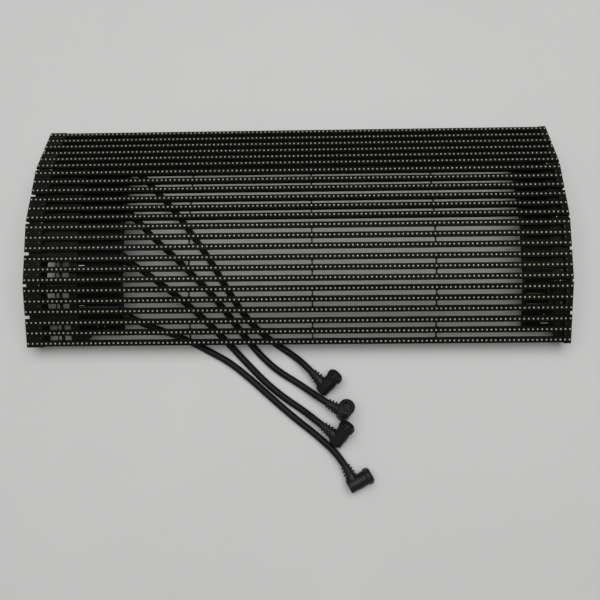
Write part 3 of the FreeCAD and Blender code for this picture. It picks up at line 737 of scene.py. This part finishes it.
def cover_outline(x):
    """Section of a cover at x, about its bar's middle, with a groove along its back."""
    half, front, back = COVER_HEIGHT / 2, -SLAT_DEPTH + COVER_SINK, -SLAT_DEPTH - COVER_DEPTH
    corner, floor = COVER_CORNER, back + GROOVE_DEPTH
    section = [(-half, front), (-half, back + corner), (-half + corner, back), (-GROOVE_MOUTH, back),
               (-GROOVE_FLOOR, floor), (GROOVE_FLOOR, floor), (GROOVE_MOUTH, back),
               (half - corner, back), (half, back + corner), (half, front)]
    return [(x, y, z) for y, z in section]


def slat_backs(panel):
    """Covers of a panel's bars, with snap lugs along them."""
    piece = Piece()
    left, right = COVER_SPAN
    back = -SLAT_DEPTH - COVER_DEPTH
    for rise in MODULES.values():
        for row in range(ROWS_IN_MODULE):
            here = panel_matrix(panel, rise + row * ROW_PITCH)
            piece.add(*rings([cover_outline(left), cover_outline(right)]), here, smooth=False)
            for number in range(LUGS):
                x = left + FIRST_LUG + number * LUG_PITCH
                add_block(piece, here, (x, -LUG_HALF_HEIGHT, back - LUG_RISE),
                          (x + LUG_LENGTH, LUG_HALF_HEIGHT, back + LUG_SINK))
    return piece.build(f"panel_{panel}_slat_backs", f"panel_{panel}", [MATERIALS["slats"]])


for panel in PANELS:
    slat_backs(panel)


# Small hardware: screws, rivets, gland caps, bright blocks of painted light, and thin light-grey lines: a wire and
# painted highlights

FACINGS = {
    "out": Matrix(),
    "back": Matrix.Rotation(math.pi, 4, "X"),
    "left": Matrix.Rotation(-math.pi / 2, 4, "Y"),
    "right": Matrix.Rotation(math.pi / 2, 4, "Y"),
}
HEAD_SINK = 0.0001


def facing(x, y, z, way="out"):
    """Place in a panel whose own Z looks out of the face, to the back, or to a side."""
    return Matrix.Translation((x, y, z)) @ FACINGS[way]


def add_screw(piece, matrix, radius, height, number=0):
    """Pan head with a hexagon recess."""
    def socketed(angle, reach, level):
        return reach if reach > 0.6 * radius else hexagon_reach(angle, reach)

    profile = [(radius, -HEAD_SINK), (radius, 0.5 * height), (0.9 * radius, 0.85 * height),
               (0.7 * radius, height), (0.52 * radius, height), (0.48 * radius, 0.35 * height),
               (0.1 * radius, 0.3 * height)]
    piece.add(*lathe(profile, 24, socketed, close_start=False), matrix, number)


def add_rivet(piece, matrix, radius, height):
    """Low dome with a dimple."""
    profile = [(radius, -HEAD_SINK), (radius, 0.2 * height), (0.8 * radius, 0.7 * height),
               (0.45 * radius, height), (0.4 * radius, 0.75 * height), (0.05 * radius, 0.7 * height)]
    piece.add(*lathe(profile, 20, close_start=False), matrix)


BOX_SCREW = (0.0026, 0.0016)
BOX_SCREW_SIDE_INSET = 0.006
BOX_SCREW_END_INSET = 0.011


def box_rows(panel, depth):
    """Heights of the outer two screw rows of a box, by the mitred ends at its back."""
    slant = math.tan(HALF_FOLD) * (depth - HINGE_DEPTH) - HINGE_REACH
    low = FIRST_BOX_LOW if panel == 1 else slant
    return low + BOX_SCREW_END_INSET, TOP_ROW - slant - BOX_SCREW_END_INSET


def back_screws(panel):
    """Screws of the power box's lid and of the hub box, on the back."""
    piece = Piece()
    here = panel_matrix(panel)
    for (left, right), depth in ((BOX_SPAN, BOX_BACK + LID_THICKNESS), (HUB_SPAN, HUB_BACK)):
        low, high = box_rows(panel, depth)
        for x in (left + BOX_SCREW_SIDE_INSET, right - BOX_SCREW_SIDE_INSET):
            for y in (low, (low + high) / 2, high):
                add_screw(piece, here @ facing(x, y, -depth, "back"), *BOX_SCREW)
    return piece.build(f"panel_{panel}_back_screws", f"panel_{panel}", [SCREW_ZINC])


RIVET = (0.0021, 0.0009)
RIVET_ROWS = (0.008, 0.036, 0.063, 0.090)
RIVET_DEPTHS = (0.016, 0.033)
PLATE_SCREW = (0.0019, 0.0007)
PLATE_SCREW_COLUMNS = (0.0065, 0.0275, 0.9885)
PLATE_SCREW_GAPS = (0.5, 1.5)


def side_rivets(panel):
    """Rivets in the outer sides of both rails, and screws that hold the modules' end plates."""
    piece = Piece()
    here = panel_matrix(panel)
    for y in RIVET_ROWS:
        for depth in RIVET_DEPTHS:
            add_rivet(piece, here @ facing(LEFT_RAIL_SIDE, y, -depth, "left"), *RIVET)
            add_rivet(piece, here @ facing(RIGHT_RAIL_SIDE, y, -depth, "right"), *RIVET)
    for rise in MODULES.values():
        for gap in PLATE_SCREW_GAPS:
            for x in PLATE_SCREW_COLUMNS:
                add_screw(piece, here @ facing(x, rise + gap * ROW_PITCH, 0), *PLATE_SCREW, number=1)
    return piece.build(f"panel_{panel}_side_rivets", f"panel_{panel}", [MATERIALS["frame"], SCREW_BLACK])


# Gland on the box, as (radius, height) points along the lead from the box's wall

GLAND_COLLAR = [(0.0108, -0.0020), (0.0108, 0.0042), (0.0103, 0.0046), (0.0080, 0.0046)]
GLAND_CAP = [(0.0090, 0.0050), (0.0098, 0.0053), (0.0098, 0.0102), (0.0094, 0.0110), (0.0090, 0.0135),
             (0.0080, 0.0178), (0.0074, 0.0184), (0.0064, 0.0184)]
GLAND_SEAL = [(0.0073, 0.0180), (0.0072, 0.0192), (0.0064, 0.0196)]
COLLAR_CORNER = 0.01116
CAP_RIBS = 16
CAP_RIB_DEPTH = 0.0005
CAP_RIBS_FROM = 0.0094


def box_gland(panel):
    """Hexagon collar and ribbed cap around the lead where it leaves the power box."""
    first, second = (Vector(point) for point in LEAD_ROUTES[panel - 1][:2])
    inverse = panel_matrix(panel).inverted()
    start = inverse @ first
    heading = (second - first).normalized()
    step = (inverse.to_3x3() @ heading).x
    wall = first + heading * ((BOX_SPAN[1] - start.x) / step)
    here = Matrix.Translation(wall) @ heading.to_track_quat("Z", "Y").to_matrix().to_4x4()

    def hexagon(angle, radius, height):
        return min(radius, hexagon_reach(angle, COLLAR_CORNER))

    def ribbed(angle, radius, height):
        if radius < CAP_RIBS_FROM:
            return radius
        return radius - CAP_RIB_DEPTH * (0.5 + 0.5 * math.cos(angle * CAP_RIBS))

    piece = Piece()
    piece.add(*lathe(GLAND_COLLAR, 72, hexagon), here)
    piece.add(*lathe(GLAND_CAP, 128, ribbed, close_end=False), here)
    piece.add(*lathe(GLAND_SEAL, 40, close_end=False), here, 1)
    return piece.build(f"box_gland_{panel}", f"panel_{panel}", [MATERIALS["plug"], MATERIALS["lead"]])


# What lies on the fronts of the boxes, by panel: bright zinc blocks as (x, y, length, width), painted light where
# light shows through gaps; screws as (x, y, depth), light grey as painted highlights; and thin light-grey lines as
# points (x, y)

PAINTED_LIGHT_PATCHES = {1: [(0.0990, 0.0686, 0.0112, 0.0011), (0.9452, 0.0284, 0.0140, 0.0015)],
         2: [(0.0995, 0.0274, 0.0112, 0.0012)]}
# Small screws drawn light grey so that they show as bright spots: painted highlights
SPOTS = {1: [(0.1320, 0.0295, PLATE_BACK), (0.1450, 0.0295, PLATE_BACK), (0.9509, 0.0448, PLATE_BACK),
             (0.9804, 0.0668, SLAT_DEPTH)],
         2: [(0.9806, 0.0107, SLAT_DEPTH)]}
# Thin lines: the slanted first one is a wire; the level ones are painted highlights along the boxes' edges
WIRE_AND_HIGHLIGHT_LINES = [(1, [(0.9556, 0.1000), (0.9566, 0.0940), (0.9598, 0.0800), (0.9620, 0.0665), (0.9630, 0.0600)]),
         (1, [(0.9190, 0.0840), (0.9400, 0.0842), (0.9560, 0.0835), (0.9680, 0.0838)]),
         (1, [(0.9190, 0.0646), (0.9330, 0.0648), (0.9460, 0.0642), (0.9575, 0.0643)]),
         (1, [(0.0995, 0.0660), (0.1250, 0.0663), (0.1500, 0.0657), (0.1730, 0.0657)]),
         (2, [(0.9190, 0.0137), (0.9380, 0.0134), (0.9520, 0.0137), (0.9680, 0.0132)])]
LINE_RADIUS = 0.0003
LIGHT_PATCH_SINK = 0.0002
LIGHT_PATCH_RISE = 0.0012
LIGHT_PATCH_BEVEL = 0.0003
SPOT_SCREW = (0.0012, 0.0008)
SEAL_SPAN = (0.9665, 0.9715)
SEAL_LOW, SEAL_HIGH = -0.0078, 0.1064
SEAL_DEPTH = 0.0012
SEAL_RISE = 0.0001


def box_front_hardware(panel):
    """Bright blocks of painted light, light grey screws that show as painted highlights, and the seal that closes
    the corner between the hub box and its sheet.
    """
    piece = Piece()
    here = panel_matrix(panel)
    left, right = SEAL_SPAN
    low = FIRST_BOX_LOW if panel == 1 else SEAL_LOW
    add_block(piece, here, (left, low, -PLATE_BACK - SEAL_DEPTH),
              (right, SEAL_HIGH, -PLATE_BACK + SEAL_RISE), number=2)
    # Bright zinc blocks: painted light, where light shows through gaps between the plate and the box or through
    # the bracket
    for x, y, length, width in PAINTED_LIGHT_PATCHES.get(panel, []):
        add_block(piece, here, (x, y, -PLATE_BACK - LIGHT_PATCH_SINK),
                  (x + length, y + width, -PLATE_BACK + LIGHT_PATCH_RISE), bevel=LIGHT_PATCH_BEVEL)
    # Light grey screws: their brightness is painted highlight
    for x, y, depth in SPOTS.get(panel, []):
        add_screw(piece, here @ facing(x, y, -depth), *SPOT_SCREW, number=1)
    return piece.build(f"box_front_hardware_{panel}", f"panel_{panel}",
                       [SCREW_ZINC, WIRE_AND_HIGHLIGHT_GREY, MATERIALS["lead"]])


def wire_and_highlight_line(number, panel, route):
    """Thin light-grey line over the front of a box, slightly raised between its ends; the slanted one is a wire,
    the level ones are painted highlights along the box's edge.
    """
    here = panel_matrix(panel)
    lifts = [LINE_RADIUS, *[3 * LINE_RADIUS] * (len(route) - 2), LINE_RADIUS]
    places = [here @ Vector((x, y, lift - PLATE_BACK)) for (x, y), lift in zip(route, lifts)]
    item = smooth_curve(f"wire_and_highlight_line_{number}", places, LINE_RADIUS, roundness=3, steps=12)
    show_curve(item, WIRE_AND_HIGHLIGHT_GREY, f"panel_{panel}")


for panel in PANELS:
    back_screws(panel)
    side_rivets(panel)
    box_gland(panel)
    box_front_hardware(panel)
for number, (panel, route) in enumerate(WIRE_AND_HIGHLIGHT_LINES, start=1):
    wire_and_highlight_line(number, panel, route)


# Floor and light: a pale sheet, a broad soft lamp above, a soft sun and a dim even sky

FLOOR_SIZE = 12
SKY_LIGHT = 0.16
SKY_SEEN = 0.45
SKY_TINT = (0.99, 1.0, 0.97, 1)


def make_floor():
    bpy.ops.mesh.primitive_plane_add(size=FLOOR_SIZE, location=(0, 0, 0))
    floor = bpy.context.object
    floor.name = "floor"
    floor.data.materials.append(floor_paper())


def place_light(name, data, place, aim):
    """Light at a place, shining along aim."""
    light = bpy.data.objects.new(name, data)
    bpy.context.scene.collection.objects.link(light)
    light.location = place
    light.rotation_mode = "QUATERNION"
    light.rotation_quaternion = aim.to_track_quat("-Z", "Y")


def make_lamp(name, place, size, power):
    """Broad flat lamp that looks at the origin."""
    data = bpy.data.lights.new(name, "AREA")
    data.shape = "RECTANGLE"
    data.size, data.size_y = size
    data.energy = power
    place_light(name, data, place, -Vector(place))


def make_sun(name, direction, spread, strength):
    """Sun with a very wide disc, so the floor stays pale far out."""
    data = bpy.data.lights.new(name, "SUN")
    data.angle = math.radians(spread)
    data.energy = strength
    place_light(name, data, (0, 0, 0), -Vector(direction))


def make_sky():
    """Even sky: dim as light, and pale where the camera or a glossy surface sees it."""
    world = bpy.data.worlds.new("sky")
    bpy.context.scene.world = world
    world.use_nodes = True
    tree = world.node_tree
    background = tree.nodes["Background"]
    background.inputs["Color"].default_value = SKY_TINT
    rays = tree.nodes.new("ShaderNodeLightPath")
    seen = rays.outputs["Is Camera Ray"]
    for kind in ("Is Glossy Ray", "Is Transmission Ray"):
        either = tree.nodes.new("ShaderNodeMath")
        either.operation = "MAXIMUM"
        tree.links.new(seen, either.inputs[0])
        tree.links.new(rays.outputs[kind], either.inputs[1])
        seen = either.outputs[0]
    strength = tree.nodes.new("ShaderNodeMapRange")
    strength.inputs["To Min"].default_value = SKY_LIGHT
    strength.inputs["To Max"].default_value = SKY_SEEN
    tree.links.new(seen, strength.inputs["Value"])
    tree.links.new(strength.outputs["Result"], background.inputs["Strength"])


make_floor()
make_lamp("top_lamp", place=(0, 0.3, 2.3), size=(3.0, 2.2), power=36)
make_sun("soft_sun", direction=(0.04, -0.05, 1.0), spread=50, strength=0.98)
make_sky()
bpy.context.scene.view_settings.view_transform = "Standard"
